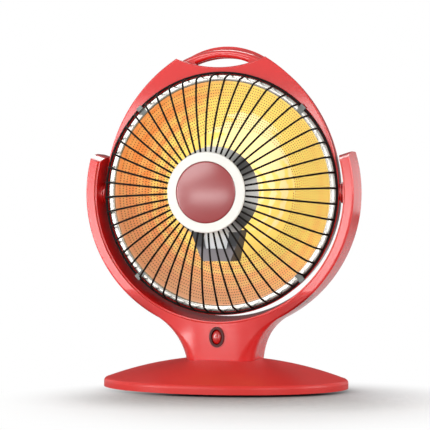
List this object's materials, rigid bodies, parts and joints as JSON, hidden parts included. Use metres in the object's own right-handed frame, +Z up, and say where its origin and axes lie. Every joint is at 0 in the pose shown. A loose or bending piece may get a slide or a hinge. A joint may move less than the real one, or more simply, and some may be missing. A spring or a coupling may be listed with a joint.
{
  "type": "radiant desk heater",
  "caption": "Desk heater: round reflector dish behind a domed wire guard, in a hooded head with a carry handle that tilts in a forked stand on an oval base with a rocker switch.",
  "frame": {"origin": "centre of the base's outline, on the floor under the feet", "axes": "+Z up; the dish faces -Y, so +Y is the back; +X is the right side of someone facing the dish"},
  "size_m": [0.2786, 0.186, 0.3456],
  "materials": {
    "red_shell": "glossy moulded red plastic",
    "black_plastic": "matte black moulded plastic",
    "rubber": "soft black rubber",
    "screw_steel": "zinc plated",
    "ballast_iron": "bare plate",
    "switch_black": "dark switch moulding",
    "terminal_brass": "bright blades",
    "rocker_red": "translucent red moulding",
    "terminal_plastic": "pale moulded block",
    "washer_steel": "spring steel",
    "reflector": "embossed bright reflector, warm toned",
    "guard_black": "satin black coated wire",
    "clip_steel": "plated clip",
    "hub_white": "white moulding",
    "cap_red": "glossy pinkish red dome",
    "lamp_quartz": "clear quartz tube",
    "filament": "tungsten coil, glowing",
    "lamp_ceramic": "steatite",
    "polished_steel": "polished sheet",
    "cutout_plastic": "moulded thermostat case",
    "lead_sleeve": "silicone sleeved lead"
  },
  "bodies": {
    "stand": {"base_top_shell": "red_shell", "base_bottom_plate": "black_plastic", "rubber_feet": "rubber", "base_screws": "screw_steel", "ballast_plate": "ballast_iron", "yoke_front_shell": "red_shell", "yoke_rear_shell": "red_shell", "neck_rear_cover": "red_shell", "yoke_screws": "screw_steel", "neck_screws": "screw_steel", "cord_grommet": "rubber", "switch_housing": "switch_black", "switch_terminals": "terminal_brass", "tip_switch": "switch_black", "terminal_block": "terminal_plastic", "friction_washers": "washer_steel", "arm_lead": "lead_sleeve", "base_lead": "lead_sleeve"},
    "head": {"head_bezel": "red_shell", "head_rear_shell": "red_shell", "head_screws": "screw_steel", "reflector_dish": "reflector", "guard_rim": "guard_black", "guard_wires": "guard_black", "guard_hub_ring": "guard_black", "guard_clips": "clip_steel", "hub_plate": "hub_white", "hub_cap": "cap_red", "hub_clamp": "clip_steel", "hub_screw": "screw_steel", "lamp_tube": "lamp_quartz", "lamp_filament": "filament", "lamp_end_caps": "lamp_ceramic", "lamp_holder": "lamp_ceramic", "lamp_bracket": "polished_steel", "element_shield": "polished_steel", "shield_strap": "polished_steel", "thermal_cutout": "cutout_plastic", "head_lead": "lead_sleeve"},
    "rocker": {"switch_rocker": "rocker_red"},
    "plunger": {"tip_plunger": "black_plastic"}
  },
  "joints": [
    {"name": "head_tilt", "type": "hinge", "parent": "stand", "child": "head", "pos_m": [0, -0.009, 0.197], "axis": [-1, 0, 0], "range_deg": [-15, 30]},
    {"name": "switch_rock", "type": "hinge", "parent": "stand", "child": "rocker", "pos_m": [0, -0.028, 0.0535], "axis": [1, 0, 0], "range_deg": [0, 14]},
    {"name": "tip_press", "type": "slide", "parent": "stand", "child": "plunger", "axis": [0, 0, 1], "range_m": [-0.004, 0], "stiffness_N_per_m": 100, "springref_m": -0.005}
  ]
}
